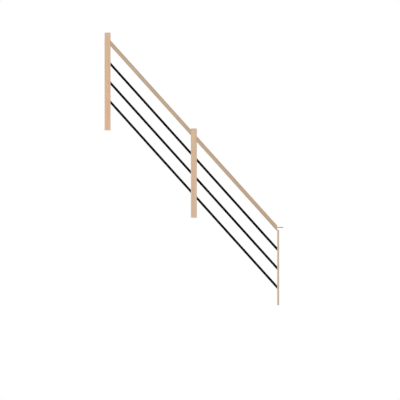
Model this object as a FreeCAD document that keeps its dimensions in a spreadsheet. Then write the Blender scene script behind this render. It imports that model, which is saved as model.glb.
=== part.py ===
import FreeCAD, Part
import os
import Sketcher

# Stair balustrade panel for a steep straight flight. Two square timber posts stand on treads, a sloping
# handrail in two lengths runs from post to post and on to the lower end, three round bars fill each bay,
# and a thin batten carries the lower ends of the last bars against the next post of the stair.
# Millimetres and degrees. +X runs down the stair, +Y goes through the panel and +Z is up.
# The origin is the centre of the middle post's foot.

SIZES = (
    ("pitch_angle", 48, "slope of the handrail and bars below level"),
    ("bay_clear", 803, "clear width of a bay between its timbers"),
    ("foot_drop", 874, "drop from one foot to the next, four risers"),
    ("post_side", 60, "side of the square posts"),
    ("post_edge_radius", 3, "easing of the posts' long edges"),
    ("post_top_chamfer", 4, "bevel round the top of each post"),
    ("post_reveal", 10, "post top above the handrail's highest corner against it"),
    ("rail_height", 820, "handrail axis above the middle foot, on the post's centre line"),
    ("rail_depth", 40, "handrail section, square to its slope"),
    ("rail_width", 50, "handrail section, across the panel"),
    ("rail_top_radius", 10, "rounding of the handrail's upper edges"),
    ("rail_bottom_radius", 6, "rounding of the handrail's lower edges"),
    ("bar_diameter", 24, "outside diameter of the bars"),
    ("rail_gap", 107, "clear gap between the handrail and the first bar, square to them"),
    ("bar_gap", 103.5, "clear gap between bars, square to them"),
    ("bars_per_bay", 3, "bars in each bay"),
    ("bar_clearance", 0.2, "room round a bar in its socket"),
    ("post_socket", 20, "level distance that a bar's axis enters a post"),
    ("batten_socket", 9.2, "level distance that a bar's axis enters the batten"),
    ("socket_spare", 0.5, "level room between a bar's end and the bottom of its socket"),
    ("batten_thickness", 20, "batten, along the stair"),
    ("batten_width", 60, "batten, across the panel"),
    ("batten_edge_radius", 2, "easing of the batten's long edges"),
    ("batten_lap", 15, "batten top above the lower corner of the handrail's end"),
    ("screw_hole_diameter", 5.5, "screw holes through the batten"),
    ("screw_head_diameter", 11, "countersink of those holes"),
    ("screw_head_angle", 90, "opening angle of the countersink"),
    ("screw_row_gap", 36, "distance between the two screws of a row"),
    ("screw_end_margin", 95, "screw row from the nearer end of the batten"),
    ("bolt_diameter", 8, "machine thread of the handrail bolt"),
    ("bolt_core_diameter", 7, "wood thread of the handrail bolt, inside the handrail"),
    ("bolt_reach", 63, "bolt beyond the handrail's end"),
    ("bolt_grip", 28, "bolt inside the handrail"),
    ("bolt_point", 6, "length of the bolt's pointed inner end"),
    ("bolt_tip_chamfer", 1, "bevel of the bolt's outer end"),
    ("bolt_height", 39, "bolt axis from the nearest acute corner of the handrail's end"),
    ("bolt_clearance", 0.1, "room round the bolt in the handrail"),
    ("plug_diameter", 22, "cover plugs over the bolts that go through the posts"),
    ("plug_depth", 12, "plug inside the post"),
    ("plug_proud", 1, "plug outside the post"),
    ("plug_chamfer", 0.8, "bevel of the plug's rim"),
    ("plug_clearance", 0.1, "room round a plug in its seat"),
    ("foot_hole_diameter", 10, "fixing holes in the feet"),
    ("foot_hole_depth", 60, "depth of those holes"),
    ("foot_hole_spacing", 30, "distance between the two holes of a foot"),
)

# Places worked out from the sizes. Heights are above the foot of the timber that they belong to.
LAYOUT = (
    ("rise", "tan(Sizes.pitch_angle)"),
    ("lean", "cos(Sizes.pitch_angle)"),
    ("post_half", "Sizes.post_side / 2"),
    ("post_spacing", "Sizes.bay_clear + Sizes.post_side"),
    ("rail_half", "Sizes.rail_depth / 2 / lean"),
    ("post_head", "post_half * rise + rail_half + Sizes.post_reveal"),
    ("bay_drop", "Sizes.bay_clear * rise"),
    ("upper_rail_height", "Sizes.rail_height + post_spacing * rise - Sizes.foot_drop"),
    ("end_face", "post_half + Sizes.bay_clear"),
    ("end_rail_height", "Sizes.rail_height + Sizes.foot_drop - end_face * rise"),
    ("batten_height", "end_rail_height - rail_half + Sizes.batten_lap"),
    ("bar_drop", "(Sizes.rail_gap + (Sizes.rail_depth + Sizes.bar_diameter) / 2) / lean"),
    ("bar_pitch", "(Sizes.bar_gap + Sizes.bar_diameter) / lean"),
    ("bolt_offset", "Sizes.bolt_height - rail_half"),
    ("bolt_fall", "post_half * rise + bolt_offset"),
)

DOWNHILL = "90 + Sizes.pitch_angle"
UPHILL = "Sizes.pitch_angle - 90"
TOWARDS_PLUS_X = "90"
TOWARDS_MINUS_X = "-90"
UPWARDS = "0"

# A turn about the level line across the panel, whose angle each piece then binds to its own heading.
TURNED = FreeCAD.Placement(FreeCAD.Vector(), FreeCAD.Rotation(FreeCAD.Vector(0, 1, 0), 90))
NEAR = 0.01

doc = FreeCAD.newDocument("stair_balustrade_panel")
sub_parts = []


def write_sheets():
    sizes = doc.addObject("Spreadsheet::Sheet", "Sizes")
    for row, (alias, number, meaning) in enumerate(SIZES, start=1):
        sizes.set(f"A{row}", meaning)
        sizes.set(f"B{row}", str(number))
        sizes.setAlias(f"B{row}", alias)
    doc.recompute()
    layout = doc.addObject("Spreadsheet::Sheet", "Layout")
    for row, (alias, formula) in enumerate(LAYOUT, start=1):
        layout.set(f"A{row}", alias)
        layout.setAlias(f"B{row}", alias)
        layout.set(f"B{row}", "=" + formula)
    doc.recompute()
    return sizes


def new_body(label, x="0", z="0"):
    """A body whose own origin stands at x, z in the panel's middle plane."""
    body = doc.addObject("PartDesign::Body", label)
    body.Label = label
    body.setExpression("Placement.Base.x", x)
    body.setExpression("Placement.Base.z", z)
    sub_parts.append(body)
    return body


def origin_feature(body, role):
    return next(feature for feature in body.Origin.OriginFeatures if feature.Role == role)


def new_sketch(body, name, role):
    sketch = body.newObject("Sketcher::SketchObject", name)
    sketch.AttachmentSupport = [(origin_feature(body, role), "")]
    sketch.MapMode = "FlatFace"
    return sketch


def add_outline(sketch, corners, first=0):
    """Closed run of straight lines, line first + i going from corner i to the next."""
    points = [FreeCAD.Vector(x, y, 0) for x, y in corners]
    for start, end in zip(points, points[1:] + points[:1]):
        sketch.addGeometry(Part.LineSegment(start, end))
    for line in range(len(points)):
        following = first + (line + 1) % len(points)
        sketch.addConstraint(Sketcher.Constraint("Coincident", first + line, 2, following, 1))


def dimension(sketch, name, expression, *constraint):
    """Named dimension of a sketch, bound to an expression."""
    index = sketch.addConstraint(Sketcher.Constraint(*constraint))
    sketch.renameConstraint(index, name)
    sketch.setExpression("Constraints." + name, expression)


def pad(body, sketch, length, symmetric=False, backwards=False):
    feature = body.newObject("PartDesign::Pad", "Pad")
    feature.Profile = sketch
    feature.setExpression("Length", length)
    feature.SideType = "Symmetric" if symmetric else "One side"
    feature.Reversed = backwards
    sketch.Visibility = False
    doc.recompute()


def dress_edges(body, kind, size, expression, chosen):
    """Fillet or chamfer on the edges of the body for which chosen(edge) is true."""
    base = body.Tip
    names = [f"Edge{i}" for i, edge in enumerate(base.Shape.Edges, start=1) if chosen(edge)]
    if not names:
        raise RuntimeError(f"{body.Label}: no edge to {kind.lower()}")
    feature = body.newObject("PartDesign::" + kind, kind)
    feature.Base = (base, names)
    feature.setExpression(size, expression)
    doc.recompute()


def drill(body, name, diameter, x, z, heading, depth):
    """Round hole that starts at x, z in the body's middle plane, its heading an angle from straight up."""
    before = body.Shape.Volume
    hole = body.newObject("PartDesign::SubtractiveCylinder", name)
    hole.AttachmentSupport = [(origin_feature(body, "XY_Plane"), "")]
    hole.MapMode = "FlatFace"
    hole.AttachmentOffset = TURNED
    hole.setExpression("AttachmentOffset.Base.x", x)
    hole.setExpression("AttachmentOffset.Base.z", z)
    hole.setExpression("AttachmentOffset.Rotation.Angle", heading)
    hole.setExpression("Radius", f"({diameter}) / 2")
    hole.setExpression("Height", depth)
    doc.recompute()
    if body.Shape.Volume >= before:
        raise RuntimeError(f"{body.Label}: {name} cuts nothing")
    return hole


def drill_bar_sockets(body, name, bottom, rail_height, heading, depth):
    """Blind sockets for one end of a bay's bars, the first under the handrail and the rest below it."""
    first = drill(
        body, name,
        diameter="Sizes.bar_diameter + 2 * Sizes.bar_clearance",
        x=bottom,
        z=f"{rail_height} - Layout.bar_drop - ({bottom}) * Layout.rise",
        heading=heading,
        depth=f"({depth} + Sizes.socket_spare + Sizes.bar_diameter) / Layout.lean",
    )
    rest = body.newObject("PartDesign::LinearPattern", name + "Pattern")
    rest.Originals = [first]
    rest.Direction = (origin_feature(body, "Z_Axis"), [""])
    rest.Reversed = True
    rest.Mode = "Spacing"
    rest.setExpression("Offset", "Layout.bar_pitch")
    rest.setExpression("Occurrences", "Sizes.bars_per_bay")
    body.Tip = rest
    doc.recompute()


def drill_plug_seat(body, name, z, heading):
    """Seat that ends plug_depth inside the face of a post that the heading points out of."""
    outwards = "-" if heading == TOWARDS_MINUS_X else "+"
    drill(
        body, name,
        diameter="Sizes.plug_diameter + 2 * Sizes.plug_clearance",
        x=f"{outwards}(Layout.post_half - Sizes.plug_depth)",
        z=z,
        heading=heading,
        depth="Sizes.plug_depth + Sizes.plug_proud",
    )


def draw_post_section(sketch):
    """Square round the sketch's origin."""
    side = sizes.post_side
    half = side / 2
    add_outline(sketch, ((-half, -half), (half, -half), (half, half), (-half, half)))
    for line, direction in enumerate(("Horizontal", "Vertical", "Horizontal", "Vertical")):
        sketch.addConstraint(Sketcher.Constraint(direction, line))
    sketch.addConstraint(Sketcher.Constraint("Symmetric", 0, 1, 2, 1, -1, 1))
    dimension(sketch, "width", "Sizes.post_side", "DistanceX", 0, 1, 0, 2, side)
    dimension(sketch, "depth", "Sizes.post_side", "DistanceY", 1, 1, 1, 2, side)


def is_upright(edge):
    start, end = (vertex.Point for vertex in edge.Vertexes[:2])
    return abs(start.x - end.x) < NEAR and abs(start.y - end.y) < NEAR


def bevel_top(body, height):
    """Four saw cuts that bevel the top of a post, two along Y and two along X."""
    half = sizes.post_side / 2
    cut = sizes.post_top_chamfer
    bevel = "Sizes.post_top_chamfer"
    top = body.Tip.Shape.BoundBox.ZMax
    for plane in ("XZ_Plane", "YZ_Plane"):
        sketch = new_sketch(body, "Bevel", plane)
        for first, side in ((0, -1), (3, 1)):
            outer = side * half
            inner = side * (half - cut)
            add_outline(sketch, ((outer, top), (inner, top), (outer, top - cut)), first)
            sketch.addConstraint(Sketcher.Constraint("Horizontal", first))
            sketch.addConstraint(Sketcher.Constraint("Vertical", first + 2))
            inner_to_corner = (first, 2, first, 1) if side > 0 else (first, 1, first, 2)
            axis_to_corner = (-1, 1, first, 1) if side > 0 else (first, 1, -1, 1)
            dimension(sketch, f"half_{first}", "Layout.post_half", "DistanceX", *axis_to_corner, half)
            dimension(sketch, f"top_{first}", height, "DistanceY", -1, 1, first, 1, top)
            dimension(sketch, f"inward_{first}", bevel, "DistanceX", *inner_to_corner, cut)
            dimension(sketch, f"down_{first}", bevel, "DistanceY", first + 2, 1, first, 1, cut)
        before = body.Shape.Volume
        pocket = body.newObject("PartDesign::Pocket", "BevelCut")
        pocket.Profile = sketch
        pocket.SideType = "Symmetric"
        pocket.setExpression("Length", "2 * Sizes.post_side")
        sketch.Visibility = False
        doc.recompute()
        if body.Shape.Volume >= before:
            raise RuntimeError(f"{body.Label}: the bevel cuts nothing")


def make_post(label, x, foot, rail_height):
    """Square post with eased edges, standing on its foot, with the fixing holes drilled up into it."""
    body = new_body(label, x, foot)
    section = new_sketch(body, "Section", "XY_Plane")
    draw_post_section(section)
    height = f"{rail_height} + Layout.post_head"
    pad(body, section, height)
    dress_edges(body, "Fillet", "Radius", "Sizes.post_edge_radius", is_upright)
    bevel_top(body, height)
    for name, side in (("FootHoleUphill", "-"), ("FootHoleDownhill", "+")):
        drill(
            body, name,
            diameter="Sizes.foot_hole_diameter",
            x=f"{side}Sizes.foot_hole_spacing / 2",
            z="0",
            heading=UPWARDS,
            depth="Sizes.foot_hole_depth",
        )
    return body


def make_upper_post():
    rail = "Layout.upper_rail_height"
    post = make_post("upper_post", "-Layout.post_spacing", "Sizes.foot_drop", rail)
    drill_bar_sockets(
        post, "BarSocketDownhill",
        "Layout.post_half - Sizes.post_socket - Sizes.socket_spare", rail, DOWNHILL, "Sizes.post_socket",
    )
    drill_plug_seat(post, "PlugSeat", f"{rail} - Layout.bolt_fall", TOWARDS_MINUS_X)


def make_middle_post():
    rail = "Sizes.rail_height"
    post = make_post("middle_post", "0", "0", rail)
    drill_bar_sockets(
        post, "BarSocketDownhill",
        "Layout.post_half - Sizes.post_socket - Sizes.socket_spare", rail, DOWNHILL, "Sizes.post_socket",
    )
    drill_bar_sockets(
        post, "BarSocketUphill",
        "Sizes.post_socket + Sizes.socket_spare - Layout.post_half", rail, UPHILL, "Sizes.post_socket",
    )
    drill_plug_seat(post, "PlugSeatUphill", f"{rail} - Layout.bolt_fall", TOWARDS_MINUS_X)
    drill_plug_seat(post, "PlugSeatDownhill", f"{rail} + Layout.bolt_fall", TOWARDS_PLUS_X)


def make_plug(label, x, z, outwards):
    """Round timber plug with a bevelled rim, from the bottom of its seat to just outside the post."""
    body = new_body(label, x, z)
    section = new_sketch(body, "Section", "YZ_Plane")
    section.addGeometry(Part.Circle(FreeCAD.Vector(), FreeCAD.Vector(0, 0, 1), sizes.plug_diameter / 2))
    section.addConstraint(Sketcher.Constraint("Coincident", 0, 3, -1, 1))
    dimension(section, "diameter", "Sizes.plug_diameter", "Diameter", 0, sizes.plug_diameter)
    pad(body, section, "Sizes.plug_depth + Sizes.plug_proud", backwards=outwards < 0)
    rim = outwards * (sizes.plug_depth + sizes.plug_proud)
    dress_edges(
        body, "Chamfer", "Size", "Sizes.plug_chamfer",
        lambda edge: edge.Closed and abs(edge.CenterOfMass.x - rim) < NEAR,
    )


def make_plugs():
    """One plug at the far face of a post for each handrail bolt that goes through that post."""
    inset = "(Layout.post_half - Sizes.plug_depth)"
    rail = "Sizes.rail_height"
    make_plug(
        "upper_post_plug", f"-Layout.post_spacing - {inset}",
        "Sizes.foot_drop + Layout.upper_rail_height - Layout.bolt_fall", -1,
    )
    make_plug("middle_post_uphill_plug", f"-{inset}", f"{rail} - Layout.bolt_fall", -1)
    make_plug("middle_post_downhill_plug", inset, f"{rail} + Layout.bolt_fall", 1)


def make_batten():
    """Thin upright batten, its uphill face against the bars and the handrail's end."""
    body = new_body("end_batten", "Layout.end_face", "-Sizes.foot_drop")
    section = new_sketch(body, "Section", "XY_Plane")
    thickness = sizes.batten_thickness
    width = sizes.batten_width
    half = width / 2
    add_outline(section, ((0, -half), (thickness, -half), (thickness, half), (0, half)))
    for line, direction in enumerate(("Horizontal", "Vertical", "Horizontal", "Vertical")):
        section.addConstraint(Sketcher.Constraint(direction, line))
    section.addConstraint(Sketcher.Constraint("Symmetric", 3, 1, 3, 2, -1, 1))
    dimension(section, "thickness", "Sizes.batten_thickness", "DistanceX", 0, 1, 0, 2, thickness)
    dimension(section, "width", "Sizes.batten_width", "DistanceY", 1, 1, 1, 2, width)
    pad(body, section, "Layout.batten_height")
    dress_edges(body, "Fillet", "Radius", "Sizes.batten_edge_radius", is_upright)
    drill_bar_sockets(
        body, "BarSocket", "Sizes.batten_socket + Sizes.socket_spare",
        "Layout.end_rail_height", UPHILL, "Sizes.batten_socket",
    )
    drill_screw_holes(body)


def drill_screw_holes(body):
    """Two rows of two countersunk holes through the batten, clear of the bars."""
    heights = (sizes.screw_end_margin, body.Shape.BoundBox.ZLength - sizes.screw_end_margin)
    gap = sizes.screw_row_gap
    centres = new_sketch(body, "ScrewHoles", "YZ_Plane")
    bore = sizes.screw_hole_diameter
    for hole, (across, height) in enumerate((y, z) for z in heights for y in (-gap / 2, gap / 2)):
        centre = FreeCAD.Vector(across, height, 0)
        centres.addGeometry(Part.Circle(centre, FreeCAD.Vector(0, 0, 1), bore / 2))
        dimension(centres, f"diameter_{hole}", "Sizes.screw_hole_diameter", "Diameter", hole, bore)
    places = ("Sizes.screw_end_margin", "Layout.batten_height - Sizes.screw_end_margin")
    for row, height in enumerate(places):
        left, right = 2 * row, 2 * row + 1
        centres.addConstraint(Sketcher.Constraint("Symmetric", left, 3, right, 3, -2))
        dimension(centres, f"row_gap_{row}", "Sizes.screw_row_gap", "DistanceX", left, 3, right, 3, gap)
        dimension(centres, f"row_height_{row}", height, "DistanceY", -1, 1, left, 3, heights[row])
    doc.recompute()
    before = body.Shape.Volume
    holes = body.newObject("PartDesign::Hole", "CountersunkHoles")
    holes.Profile = centres
    holes.Reversed = True
    holes.DepthType = "ThroughAll"
    holes.HoleCutType = "Countersink"
    holes.HoleCutCustomValues = True
    holes.setExpression("Diameter", "Sizes.screw_hole_diameter")
    holes.setExpression("HoleCutDiameter", "Sizes.screw_head_diameter")
    holes.setExpression("HoleCutCountersinkAngle", "Sizes.screw_head_angle")
    centres.Visibility = False
    doc.recompute()
    if body.Shape.Volume >= before:
        raise RuntimeError("the batten's screw holes cut nothing")


def make_handrail(label, x, z):
    """One length of handrail: a sloping bar with upright ends and rounded long edges."""
    body = new_body(label, x, z)
    side = new_sketch(body, "Side", "XZ_Plane")
    layout = doc.Layout
    run = sizes.bay_clear
    drop = layout.bay_drop
    half = layout.rail_half
    add_outline(side, ((0, -half), (run, -drop - half), (run, half - drop), (0, half)))
    for end in (1, 3):
        side.addConstraint(Sketcher.Constraint("Vertical", end))
    side.addConstraint(Sketcher.Constraint("Parallel", 0, 2))
    side.addConstraint(Sketcher.Constraint("Symmetric", 3, 1, 3, 2, -1, 1))
    dimension(side, "end_height", "2 * Layout.rail_half", "DistanceY", 0, 1, 2, 2, 2 * half)
    dimension(side, "run", "Sizes.bay_clear", "DistanceX", 0, 1, 0, 2, run)
    dimension(side, "drop", "Layout.bay_drop", "DistanceY", 0, 2, 0, 1, drop)
    pad(body, side, "Sizes.rail_width", symmetric=True)

    def height_over_axis(edge):
        middle = edge.CenterOfMass
        return middle.z + middle.x * layout.rise

    def is_long(edge):
        return edge.BoundBox.XLength > run / 2

    def is_upper(edge):
        return is_long(edge) and height_over_axis(edge) > 0

    def is_lowest(edge):
        return is_long(edge) and height_over_axis(edge) < NEAR - half

    dress_edges(body, "Fillet", "Radius", "Sizes.rail_top_radius", is_upper)
    dress_edges(body, "Fillet", "Radius", "Sizes.rail_bottom_radius", is_lowest)
    return body


def make_handrails():
    upper_start = "Layout.post_half - Layout.post_spacing"
    lower_start = "Layout.post_half"
    axis_height = "Sizes.rail_height - ({}) * Layout.rise"
    make_handrail("upper_handrail", upper_start, axis_height.format(upper_start))
    lower = make_handrail("lower_handrail", lower_start, axis_height.format(lower_start))
    drill(
        lower, "BoltHole",
        diameter="Sizes.bolt_core_diameter + 2 * Sizes.bolt_clearance",
        x="Sizes.bay_clear",
        z="Layout.bolt_offset - Layout.bay_drop",
        heading=TOWARDS_MINUS_X,
        depth="Sizes.bolt_grip + Sizes.bolt_clearance",
    )


def make_bolt():
    """Hanger bolt in the handrail's lower end: a pointed wood thread inside, a machine thread outside."""
    body = new_body(
        "handrail_bolt", "Layout.end_face",
        "Layout.end_rail_height - Sizes.foot_drop + Layout.bolt_offset",
    )
    profile = new_sketch(body, "Profile", "XZ_Plane")
    core = sizes.bolt_core_diameter / 2
    thread = sizes.bolt_diameter / 2
    grip = sizes.bolt_grip
    reach = sizes.bolt_reach
    bevel = sizes.bolt_tip_chamfer
    add_outline(profile, (
        (-grip, 0), (sizes.bolt_point - grip, core), (0, core), (0, thread),
        (reach - bevel, thread), (reach, thread - bevel), (reach, 0),
    ))
    for line, direction in ((1, "Horizontal"), (2, "Vertical"), (3, "Horizontal"), (5, "Vertical")):
        profile.addConstraint(Sketcher.Constraint(direction, line))
    profile.addConstraint(Sketcher.Constraint("PointOnObject", 0, 1, -1))
    profile.addConstraint(Sketcher.Constraint("PointOnObject", 6, 1, -1))
    profile.addConstraint(Sketcher.Constraint("PointOnObject", 2, 1, -2))
    dimension(profile, "grip", "Sizes.bolt_grip", "DistanceX", 0, 1, -1, 1, grip)
    dimension(profile, "point", "Sizes.bolt_point", "DistanceX", 0, 1, 0, 2, sizes.bolt_point)
    dimension(profile, "core", "Sizes.bolt_core_diameter / 2", "DistanceY", -1, 1, 2, 1, core)
    dimension(profile, "thread", "Sizes.bolt_diameter / 2", "DistanceY", -1, 1, 2, 2, thread)
    dimension(profile, "reach", "Sizes.bolt_reach", "DistanceX", -1, 1, 6, 1, reach)
    dimension(profile, "bevel_run", "Sizes.bolt_tip_chamfer", "DistanceX", 4, 1, 4, 2, bevel)
    dimension(profile, "bevel_fall", "Sizes.bolt_tip_chamfer", "DistanceY", 4, 2, 4, 1, bevel)
    turned = body.newObject("PartDesign::Revolution", "Revolution")
    turned.Profile = profile
    turned.ReferenceAxis = (profile, ["H_Axis"])
    profile.Visibility = False
    doc.recompute()


def make_bars(bay, start, lower_socket):
    """Bars of one bay, from their upper ends inside the post to their lower ends inside the next timber."""
    for number in range(int(sizes.bars_per_bay)):
        bar = doc.addObject("Part::Cylinder", f"{bay}_bay_bar_{number + 1}")
        bar.Label = bar.Name
        bar.Placement = TURNED
        drop = f"Layout.bar_drop + {number} * Layout.bar_pitch"
        bar.setExpression("Placement.Base.x", start)
        bar.setExpression("Placement.Base.z", f"Sizes.rail_height - ({start}) * Layout.rise - ({drop})")
        bar.setExpression("Placement.Rotation.Angle", DOWNHILL)
        bar.setExpression("Radius", "Sizes.bar_diameter / 2")
        bar.setExpression("Height", f"(Sizes.post_socket + Sizes.bay_clear + {lower_socket}) / Layout.lean")
        sub_parts.append(bar)


def write_parts():
    doc.recompute()
    for item in doc.Objects:
        if "Invalid" in item.State or "Error" in item.State:
            raise RuntimeError(f"{item.Label} failed to recompute")
    for part in sub_parts:
        if part.Shape.isNull() or not part.Shape.isValid():
            raise RuntimeError(f"{part.Label} has no valid shape")
    os.makedirs("parts", exist_ok=True)
    for part in sub_parts:
        part.Shape.exportStep(f"parts/{part.Label}.step")


sizes = write_sheets()
make_upper_post()
make_middle_post()
make_batten()
make_handrails()
make_bars("upper", "Layout.post_half - Layout.post_spacing - Sizes.post_socket", "Sizes.post_socket")
make_bars("lower", "Layout.post_half - Sizes.post_socket", "Sizes.batten_socket")
make_plugs()
make_bolt()
write_parts()
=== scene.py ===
import math

import bmesh
import bpy
from mathutils import Matrix, Vector


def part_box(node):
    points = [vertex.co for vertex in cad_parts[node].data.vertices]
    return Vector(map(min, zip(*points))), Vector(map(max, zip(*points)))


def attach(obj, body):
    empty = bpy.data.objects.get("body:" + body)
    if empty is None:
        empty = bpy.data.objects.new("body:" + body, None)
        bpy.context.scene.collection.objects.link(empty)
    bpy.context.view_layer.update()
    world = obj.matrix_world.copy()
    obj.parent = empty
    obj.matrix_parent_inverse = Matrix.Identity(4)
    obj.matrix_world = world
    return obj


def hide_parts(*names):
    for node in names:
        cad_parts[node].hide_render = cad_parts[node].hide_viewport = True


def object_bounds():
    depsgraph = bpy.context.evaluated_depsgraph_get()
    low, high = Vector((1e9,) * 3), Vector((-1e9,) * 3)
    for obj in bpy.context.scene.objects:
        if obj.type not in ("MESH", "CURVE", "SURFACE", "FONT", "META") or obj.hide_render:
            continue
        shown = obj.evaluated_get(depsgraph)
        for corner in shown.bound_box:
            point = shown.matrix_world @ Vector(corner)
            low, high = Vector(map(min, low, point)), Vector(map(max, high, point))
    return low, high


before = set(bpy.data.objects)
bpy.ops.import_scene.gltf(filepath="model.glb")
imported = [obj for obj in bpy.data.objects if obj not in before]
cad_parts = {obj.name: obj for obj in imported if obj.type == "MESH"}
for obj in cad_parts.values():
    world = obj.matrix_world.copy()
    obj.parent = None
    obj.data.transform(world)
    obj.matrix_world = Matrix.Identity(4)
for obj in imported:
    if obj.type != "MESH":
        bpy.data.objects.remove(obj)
cad_low, cad_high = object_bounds()

# Lengths are metres in the panel's own frame, and colours are linear.

# The photograph is a level front view without perspective: its width and its centre, on the panel.
PICTURE_WIDTH = 4.0
PICTURE_CENTRE_X = 0.0615
PICTURE_CENTRE_Z = 0.1779
CAMERA_DISTANCE = 6.0

# Light: an even studio glow, a soft key lamp from the front left and a soft fill lamp from behind.
# A lamp has its strength, its degrees round from the front of the panel and its degrees above level.
GLOW = 0.52
LAMPS = {"key_lamp": (1.36, -35, 40), "fill_lamp": (1.03, 140, 35)}
LAMP_SPREAD = math.radians(35)
FLOOR_RADIUS = 40.0
FLOOR_SIDES = 96
FLOOR_COLOUR = (0.93, 0.93, 0.93, 1)
FLOOR_ROUGHNESS = 0.9
FLOOR_SPECULAR = 0.1

# Each stick of timber: its mean colour, and the place of the tree's heart from the stick's own axis.
# The handrails are set darker and greyer than the posts, in a tone of their own.
RAIL_TONE = (0.503, 0.370, 0.250)
PLUG_TONE = (0.664, 0.456, 0.297)
STICKS = {
    "upper_post": ((0.682, 0.452, 0.295), (-0.016, 0.070)),
    "middle_post": ((0.650, 0.462, 0.315), (0.020, -0.074)),
    "end_batten": ((0.560, 0.428, 0.314), (0.120, 0.060)),
    "upper_handrail": (RAIL_TONE, (-0.012, 0.062)),
    "lower_handrail": (RAIL_TONE, (0.083, -0.071)),
    "upper_post_plug": (PLUG_TONE, (0.070, -0.055)),
    "middle_post_uphill_plug": (PLUG_TONE, (-0.058, 0.072)),
    "middle_post_downhill_plug": (PLUG_TONE, (0.045, 0.093)),
}

# Noises: waves per metre across and along the grain, how many finer octaves, and how strong those are.
# The span is where most of a noise's values lie.
SWAY = dict(across=5, along=1.6, detail=2.0, roughness=0.45)
CLOUDS = dict(across=16, along=1.1, detail=1.0, roughness=0.5)
BANDS = dict(across=48, along=1.4, detail=2.0, roughness=0.5)
FIBRES = dict(across=620, along=9, detail=3.0, roughness=0.6)
FLECKS = dict(across=1900, along=190, detail=1.0, roughness=0.4)
ORANGE_PEEL = dict(across=900, along=900, detail=2.0, roughness=0.6)
POWDER_GRIT = dict(across=3600, along=3600, detail=1.0, roughness=0.5)
POWDER_PATCHES = dict(across=14, along=14, detail=3.0, roughness=0.55)
ZINC_CLOUDS = dict(across=220, along=220, detail=3.0, roughness=0.6)
ZINC_GRIT = dict(across=5200, along=5200, detail=1.0, roughness=0.5)
NOISE_SPAN = (0.25, 0.75)

# Growth rings of the timber, round a heart that sways and leans along the grain. A stick's heart, times the
# shift, also moves its noises to a place of their own.
STICK_SHIFT = Vector((31, 17, 53))
GRAIN_SWAY = 0.03
HEART_LEAN = (0.01, 0.014, 0)
RING_SPACING = 0.0036
LATE_WOOD_POWER = 2.6
LATE_WOOD_SHARE = 0.55

# Tints of the timber, which multiply a stick's mean colour.
EARLY_WOOD = (1.09, 1.09, 1.09, 1)
LATE_WOOD = (0.86, 0.80, 0.74, 1)
COOL_CLOUD = (0.945, 0.975, 1.00, 1)
WARM_CLOUD = (1.045, 1.015, 0.985, 1)
BAND_TINTS = (0.90, 1.09)
FIBRE_TINTS = (0.94, 1.05)
FLECK_EDGES = (0.61, 0.72)
FLECK_SHARE = 0.45
FLECK_TINT = 0.55

# Surface of the timber: end grain, rubbed edges, the handrail's upper side, and the lacquer over them all.
# A relief is a height and the strength that it shows with.
END_GRAIN_FACING = (0.40, 0.66)
END_GRAIN_SHARE = 0.45
END_GRAIN_TINT = 0.60
EDGE_BAND = 0.004
WORN_BANDS = (0.35, 0.70)
WORN_SHARE = 0.22
WORN_TINT = 1.22
WORN_GLOSS = 0.05
POLISH_FACING = (0.10, 0.80)
POLISH_TINT = 0.96
POLISH_GLOSS = 0.10
LACQUER_SPAN = (0.3, 1.2)
LACQUER_ROUGHNESS = (0.40, 0.60)
LACQUER_SPECULAR = 0.32
FLECK_DEPTH = 0.8
GRAIN_RELIEF = (0.00008, 0.5)

# Powder coat on the bars.
POWDER_BLACK = (0.0018, 0.0018, 0.0019, 1)
POWDER_GREY = (0.0030, 0.0030, 0.0031, 1)
GREY_PATCHES = (0.35, 0.70)
GREY_SHARE = 0.5
POWDER_SPAN = (0.7, 1.3)
POWDER_ROUGHNESS = (0.34, 0.48)
POWDER_SPECULAR = 0.03
GRIT_HEIGHT = 0.4
POWDER_RELIEF = (0.00006, 0.6)

# Zinc plate on the bolt.
DULL_ZINC = (0.25, 0.25, 0.26, 1)
BRIGHT_ZINC = (0.345, 0.345, 0.355, 1)
ZINC_SPAN = (0.3, 0.7)
ZINC_ROUGHNESS = (0.28, 0.46)
ZINC_RELIEF = (0.00002, 0.4)

# The bolt: a standard 8 mm machine thread on its free end and a coarse wood thread inside the handrail.
# Flats, flanks and ridges are shares of half a pitch.
BOLT_AROUND = 36
BOLT_STEPS_PER_PITCH = 10
MACHINE_RADIUS = 0.004
MACHINE_PITCH = 0.00125
MACHINE_DEPTH = 0.00077
MACHINE_ROOT_FLAT = 0.10
MACHINE_FLANK = 0.75
THREAD_RUN_OUT = 0.0025
TIP_BEVEL = 0.0011
WOOD_CREST_RADIUS = 0.0035
WOOD_CORE_RADIUS = 0.0026
WOOD_PITCH = 0.003
WOOD_RIDGE = 0.35
WOOD_SHANK = 0.005
POINT_LENGTH = 0.006
POINT_RADIUS = 0.0003
CREASE_ANGLE = math.radians(40)


def centre_of(node):
    low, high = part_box(node)
    return (low + high) / 2


RAIL_LINE = (centre_of("lower_handrail") - centre_of("upper_handrail")).normalized()
PITCH = math.atan2(-RAIL_LINE.z, RAIL_LINE.x)


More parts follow.
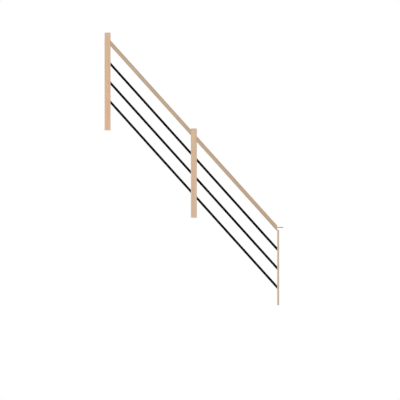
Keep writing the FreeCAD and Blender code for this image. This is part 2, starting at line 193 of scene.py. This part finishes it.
class Finish:
    """One material, and short calls for the nodes that the finishes share."""

    # Sockets of a mixing node in its colour mode.
    FACTOR, FIRST, SECOND, RESULT = 0, 6, 7, 2

    def __init__(self, name):
        self.material = bpy.data.materials.new(name)
        self.material.use_nodes = True
        self.tree = self.material.node_tree
        self.shader = self.tree.nodes["Principled BSDF"]

    def connect(self, socket, value):
        if isinstance(value, bpy.types.NodeSocket):
            self.tree.links.new(value, socket)
        else:
            socket.default_value = value

    def add(self, kind, inputs, output=0, **settings):
        """Adds a node and gives one of its outputs."""
        node = self.tree.nodes.new("ShaderNode" + kind)
        for setting, value in settings.items():
            setattr(node, setting, value)
        for key, value in inputs.items():
            self.connect(node.inputs[key], value)
        return node.outputs[output]

    def vector(self, operation, first, second=(0, 0, 0)):
        return self.add("VectorMath", {0: first, 1: second}, operation=operation)

    def measure(self, operation, first, second=(0, 0, 0)):
        """A number worked out from vectors, such as a length."""
        return self.add("VectorMath", {0: first, 1: second}, "Value", operation=operation)

    def number(self, operation, first, second=0.0):
        return self.add("Math", {0: first, 1: second}, operation=operation)

    def times(self, first, second):
        return self.number("MULTIPLY", first, second)

    def remap(self, value, old_range, new_range=(0, 1)):
        limits = dict(zip(("From Min", "From Max", "To Min", "To Max"), (*old_range, *new_range)))
        return self.add("MapRange", {"Value": value, **limits})

    def noise(self, place, across, along, detail, roughness, output=0):
        """Noise whose waves are drawn out along the third axis."""
        stretched = self.vector("MULTIPLY", place, (across, across, along))
        inputs = {"Vector": stretched, "Scale": 1.0, "Detail": detail, "Roughness": roughness}
        return self.add("TexNoise", inputs, output)

    def mix(self, share, first, second, blend_type="MIX"):
        colours = {self.FACTOR: share, self.FIRST: first, self.SECOND: second}
        return self.add("Mix", colours, self.RESULT, data_type="RGBA", blend_type=blend_type)

    def tinted(self, first, second):
        return self.mix(1.0, first, second, "MULTIPLY")

    def towards_grey(self, tint, share, grey):
        return self.mix(share, tint, (grey, grey, grey, 1))

    def shade(self, **sockets):
        """Sets or links the shader's own sockets, named with underscores for blanks."""
        for name, value in sockets.items():
            self.connect(self.shader.inputs[name.replace("_", " ")], value)

    def bump(self, height, relief):
        distance, strength = relief
        inputs = {"Height": height, "Distance": distance, "Strength": strength}
        self.shade(Normal=self.add("Bump", inputs))


def late_wood(finish, place, own, heart):
    """0 in early wood and 1 at the dark end of each year's ring."""
    sway = finish.noise(own, **SWAY, output="Color")
    swayed = finish.vector("ADD", place, finish.vector("MULTIPLY", sway, (GRAIN_SWAY, GRAIN_SWAY, 0)))
    from_heart = finish.add("Mapping", {"Vector": swayed, "Location": (*heart, 0), "Rotation": HEART_LEAN})
    radius = finish.measure("LENGTH", finish.vector("MULTIPLY", from_heart, (1, 1, 0)))
    ring = finish.number("FRACT", finish.number("DIVIDE", radius, RING_SPACING))
    return finish.number("POWER", ring, LATE_WOOD_POWER)


def figure(finish, rings, clouds, bands, fibres, flecks):
    """The growth of a stick as a tint of its mean colour."""
    tint = finish.mix(finish.times(rings, LATE_WOOD_SHARE), EARLY_WOOD, LATE_WOOD)
    tint = finish.tinted(tint, finish.mix(finish.remap(clouds, NOISE_SPAN), COOL_CLOUD, WARM_CLOUD))
    tint = finish.tinted(tint, finish.remap(bands, NOISE_SPAN, BAND_TINTS))
    tint = finish.tinted(tint, finish.remap(fibres, NOISE_SPAN, FIBRE_TINTS))
    return finish.towards_grey(tint, finish.times(flecks, FLECK_SHARE), FLECK_TINT)


def end_grain(finish, normal, grain):
    """0 on the long faces and 1 where the surface cuts across the grain."""
    facing = finish.number("ABSOLUTE", finish.measure("DOT_PRODUCT", normal, grain))
    return finish.remap(facing, END_GRAIN_FACING)


def long_edges(finish, place, half_section):
    """0 on a stick's faces and 1 on its four long edges."""
    reach = finish.measure("DOT_PRODUCT", finish.vector("ABSOLUTE", place), (1, 1, 0))
    corner = sum(half_section)
    return finish.remap(reach, (corner - 2 * EDGE_BAND, corner - EDGE_BAND / 2))


def upper_side(finish, normal):
    """0 on the lower half of a handrail and 1 on its upper side."""
    upwards = finish.measure("DOT_PRODUCT", normal, (math.sin(PITCH), 0, math.cos(PITCH)))
    return finish.remap(upwards, POLISH_FACING)


def wood(node, tilt, half_section, polished):
    """Clear lacquered beech, its grain along the stick, which leans by tilt from upright."""
    tone, heart = STICKS[node]
    finish = Finish("wood_" + node)
    turn = Matrix.Rotation(tilt, 3, "Y")
    grain = turn.inverted() @ Vector((0, 0, 1))
    middle = turn @ centre_of(node)
    coordinates = finish.add("TexCoord", {}, "Object")
    place = finish.add("Mapping", {"Vector": coordinates, "Rotation": (0, tilt, 0), "Location": -middle})
    normal = finish.add("TexCoord", {}, "Normal")
    own = finish.vector("ADD", place, Vector((heart[0], heart[1], heart[0])) * STICK_SHIFT)

    rings = late_wood(finish, place, own, heart)
    clouds = finish.noise(own, **CLOUDS)
    bands = finish.noise(own, **BANDS)
    fibres = finish.noise(own, **FIBRES)
    flecks = finish.remap(finish.noise(own, **FLECKS), FLECK_EDGES)
    tint = figure(finish, rings, clouds, bands, fibres, flecks)
    dullness = finish.remap(finish.number("ADD", fibres, flecks), LACQUER_SPAN, LACQUER_ROUGHNESS)

    # End grain drinks more lacquer and darkens.
    cut = finish.times(end_grain(finish, normal, grain), END_GRAIN_SHARE)
    tint = finish.towards_grey(tint, cut, END_GRAIN_TINT)

    # The long edges are rubbed smooth, and paler here and there.
    edges = long_edges(finish, place, half_section)
    worn = finish.times(edges, finish.remap(bands, WORN_BANDS, (0, WORN_SHARE)))
    tint = finish.towards_grey(tint, worn, WORN_TINT)
    dullness = finish.number("SUBTRACT", dullness, finish.times(edges, WORN_GLOSS))

    # Hands keep the upper side of a handrail smooth and make it a little darker.
    if polished:
        polish = upper_side(finish, normal)
        tint = finish.tinted(tint, finish.remap(polish, (0, 1), (1, POLISH_TINT)))
        dullness = finish.number("SUBTRACT", dullness, finish.times(polish, POLISH_GLOSS))

    finish.shade(Base_Color=finish.tinted(tint, (*tone, 1)), Roughness=dullness)
    finish.shade(Specular_IOR_Level=LACQUER_SPECULAR)
    finish.bump(finish.number("SUBTRACT", fibres, finish.times(flecks, FLECK_DEPTH)), GRAIN_RELIEF)
    return finish.material


def powder_coat():
    """Matt black powder coat: a fine orange peel with grit in it, and patches a little greyer and duller."""
    finish = Finish("bar_powder_coat")
    place = finish.add("TexCoord", {}, "Object")
    peel = finish.noise(place, **ORANGE_PEEL)
    grit = finish.noise(place, **POWDER_GRIT)
    patches = finish.noise(place, **POWDER_PATCHES)
    greyness = finish.remap(patches, GREY_PATCHES, (0, GREY_SHARE))
    dullness = finish.remap(finish.number("ADD", peel, patches), POWDER_SPAN, POWDER_ROUGHNESS)
    finish.shade(Base_Color=finish.mix(greyness, POWDER_BLACK, POWDER_GREY), Roughness=dullness)
    finish.shade(Specular_IOR_Level=POWDER_SPECULAR)
    finish.bump(finish.number("ADD", peel, finish.times(grit, GRIT_HEIGHT)), POWDER_RELIEF)
    return finish.material


def zinc():
    """Zinc plate, clouded bright and dull."""
    finish = Finish("bolt_zinc_plate")
    place = finish.add("TexCoord", {}, "Object")
    clouds = finish.noise(place, **ZINC_CLOUDS)
    finish.shade(Base_Color=finish.mix(clouds, DULL_ZINC, BRIGHT_ZINC), Metallic=1.0)
    finish.shade(Roughness=finish.remap(clouds, ZINC_SPAN, ZINC_ROUGHNESS))
    finish.bump(finish.noise(place, **ZINC_GRIT), ZINC_RELIEF)
    return finish.material


def give(node, material):
    """Puts one material on every slot of a CAD node."""
    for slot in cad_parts[node].material_slots:
        slot.material = material


def dress_timber():
    """A finish of its own for each stick. A plug takes a post's section, whose edges it lies clear of."""
    for node in STICKS:
        low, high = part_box("middle_post" if node.endswith("plug") else node)
        half = (high - low) / 2
        if node.endswith("handrail"):
            half_depth = (half.z - half.x * math.tan(PITCH)) * math.cos(PITCH)
            give(node, wood(node, math.pi / 2 - PITCH, (half_depth, half.y), polished=True))
        else:
            give(node, wood(node, 0, (half.x, half.y), polished=False))


def dress_bars():
    black = powder_coat()
    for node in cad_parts:
        if "_bay_bar_" in node:
            give(node, black)


def new_object(name, mesh, material):
    """Turns a finished bmesh into an object of the scene."""
    data = bpy.data.meshes.new(name)
    mesh.to_mesh(data)
    mesh.free()
    data.materials.append(material)
    item = bpy.data.objects.new(name, data)
    bpy.context.scene.collection.objects.link(item)
    return item


def clamp(value):
    return min(max(value, 0), 1)


def machine_thread(x, turn, shoulder, tip):
    """Radius of the bolt's free end: plain at the shoulder, then a cut thread, bevelled at the tip."""
    phase = (x / MACHINE_PITCH + turn) % 1
    crest = clamp((abs(2 * phase - 1) - MACHINE_ROOT_FLAT) / MACHINE_FLANK)
    run_out = clamp((x - shoulder) / THREAD_RUN_OUT)
    cut = MACHINE_DEPTH * (1 - crest) * run_out
    return min(MACHINE_RADIUS - cut, MACHINE_RADIUS - TIP_BEVEL + tip - x)


def wood_thread(x, turn, point, shoulder):
    """Radius of the bolt in the handrail: a point, a coarse ridge and a plain shank at the shoulder."""
    phase = (x / WOOD_PITCH + turn) % 1
    ridge = clamp(1 - abs(2 * phase - 1) / WOOD_RIDGE)
    shank = clamp((x - shoulder + WOOD_SHANK) / THREAD_RUN_OUT)
    radius = WOOD_CORE_RADIUS + (WOOD_CREST_RADIUS - WOOD_CORE_RADIUS) * max(ridge, shank)
    return max(radius * clamp((x - point) / POINT_LENGTH), POINT_RADIUS)


def bolt_rings(mesh):
    """Rings of points along the bolt, from its point inside the handrail to its free tip."""
    low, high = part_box("handrail_bolt")
    middle = (low + high) / 2
    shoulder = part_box("lower_handrail")[1].x
    rings = []
    for start, end, pitch, radius_at in (
        (low.x, shoulder, WOOD_PITCH, wood_thread),
        (shoulder, high.x, MACHINE_PITCH, machine_thread),
    ):
        steps = math.ceil((end - start) / pitch * BOLT_STEPS_PER_PITCH)
        for step in range(steps + 1):
            x = start + (end - start) * step / steps
            ring = []
            for k in range(BOLT_AROUND):
                turn = k / BOLT_AROUND
                radius = radius_at(x, turn, start, end)
                angle = 2 * math.pi * turn
                point = (x, middle.y + radius * math.cos(angle), middle.z + radius * math.sin(angle))
                ring.append(mesh.verts.new(point))
            rings.append(ring)
    return rings


def make_bolt():
    """The hanger bolt, with real threads."""
    mesh = bmesh.new()
    rings = bolt_rings(mesh)
    for before, after in zip(rings, rings[1:]):
        for k in range(BOLT_AROUND):
            beside = (k + 1) % BOLT_AROUND
            mesh.faces.new((before[k], before[beside], after[beside], after[k]))
    mesh.faces.new(reversed(rings[0]))
    mesh.faces.new(rings[-1])
    bmesh.ops.recalc_face_normals(mesh, faces=mesh.faces)
    bolt = new_object("threaded_handrail_bolt", mesh, zinc())
    bolt.data.shade_smooth()
    bolt.data.set_sharp_from_angle(angle=CREASE_ANGLE)
    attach(bolt, "root")
    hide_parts("handrail_bolt")


def make_floor():
    """A pale, plain floor level with the lowest point of the panel."""
    mesh = bmesh.new()
    bmesh.ops.create_circle(mesh, cap_ends=True, radius=FLOOR_RADIUS, segments=FLOOR_SIDES)
    finish = Finish("studio_floor")
    finish.shade(Base_Color=FLOOR_COLOUR, Roughness=FLOOR_ROUGHNESS, Specular_IOR_Level=FLOOR_SPECULAR)
    floor = new_object("studio_floor", mesh, finish.material)
    floor.location.z = cad_low.z


def make_world():
    """Even glow on the panel, and white where the camera or a mirror-like surface looks past it."""
    world = bpy.data.worlds.new("studio")
    world.use_nodes = True
    bpy.context.scene.world = world
    tree = world.node_tree
    background = tree.nodes["Background"]
    background.inputs["Color"].default_value = (1, 1, 1, 1)
    path = tree.nodes.new("ShaderNodeLightPath")
    seen = path.outputs["Is Camera Ray"]
    for kind in ("Is Glossy Ray", "Is Transmission Ray"):
        either = tree.nodes.new("ShaderNodeMath")
        either.operation = "MAXIMUM"
        tree.links.new(seen, either.inputs[0])
        tree.links.new(path.outputs[kind], either.inputs[1])
        seen = either.outputs[0]
    strength = tree.nodes.new("ShaderNodeMapRange")
    strength.inputs["To Min"].default_value = GLOW
    strength.inputs["To Max"].default_value = 1.0
    tree.links.new(seen, strength.inputs["Value"])
    tree.links.new(strength.outputs[0], background.inputs["Strength"])


def make_lamps():
    """Broad soft lamps far away."""
    for name, (strength, degrees_round, degrees_up) in LAMPS.items():
        lamp = bpy.data.lights.new(name, "SUN")
        lamp.energy = strength
        lamp.angle = LAMP_SPREAD
        holder = bpy.data.objects.new(name, lamp)
        turn = Matrix.Rotation(math.radians(degrees_round), 3, "Z")
        lift = Matrix.Rotation(math.radians(-degrees_up), 3, "X")
        towards = turn @ lift @ Vector((0, -1, 0))
        holder.rotation_euler = towards.to_track_quat("Z", "Y").to_euler()
        holder.location = towards * CAMERA_DISTANCE
        bpy.context.scene.collection.objects.link(holder)


def make_camera():
    """A level, straight-on view without perspective, as in the photograph."""
    data = bpy.data.cameras.new("photo_view")
    data.type = "ORTHO"
    data.ortho_scale = PICTURE_WIDTH
    camera = bpy.data.objects.new("photo_view", data)
    camera.location = (PICTURE_CENTRE_X, -CAMERA_DISTANCE, PICTURE_CENTRE_Z)
    camera.rotation_euler = (math.pi / 2, 0, 0)
    bpy.context.scene.collection.objects.link(camera)
    bpy.context.scene.camera = camera


dress_timber()
dress_bars()
make_bolt()
make_floor()
make_world()
make_lamps()
make_camera()
bpy.context.scene.view_settings.view_transform = "Standard"
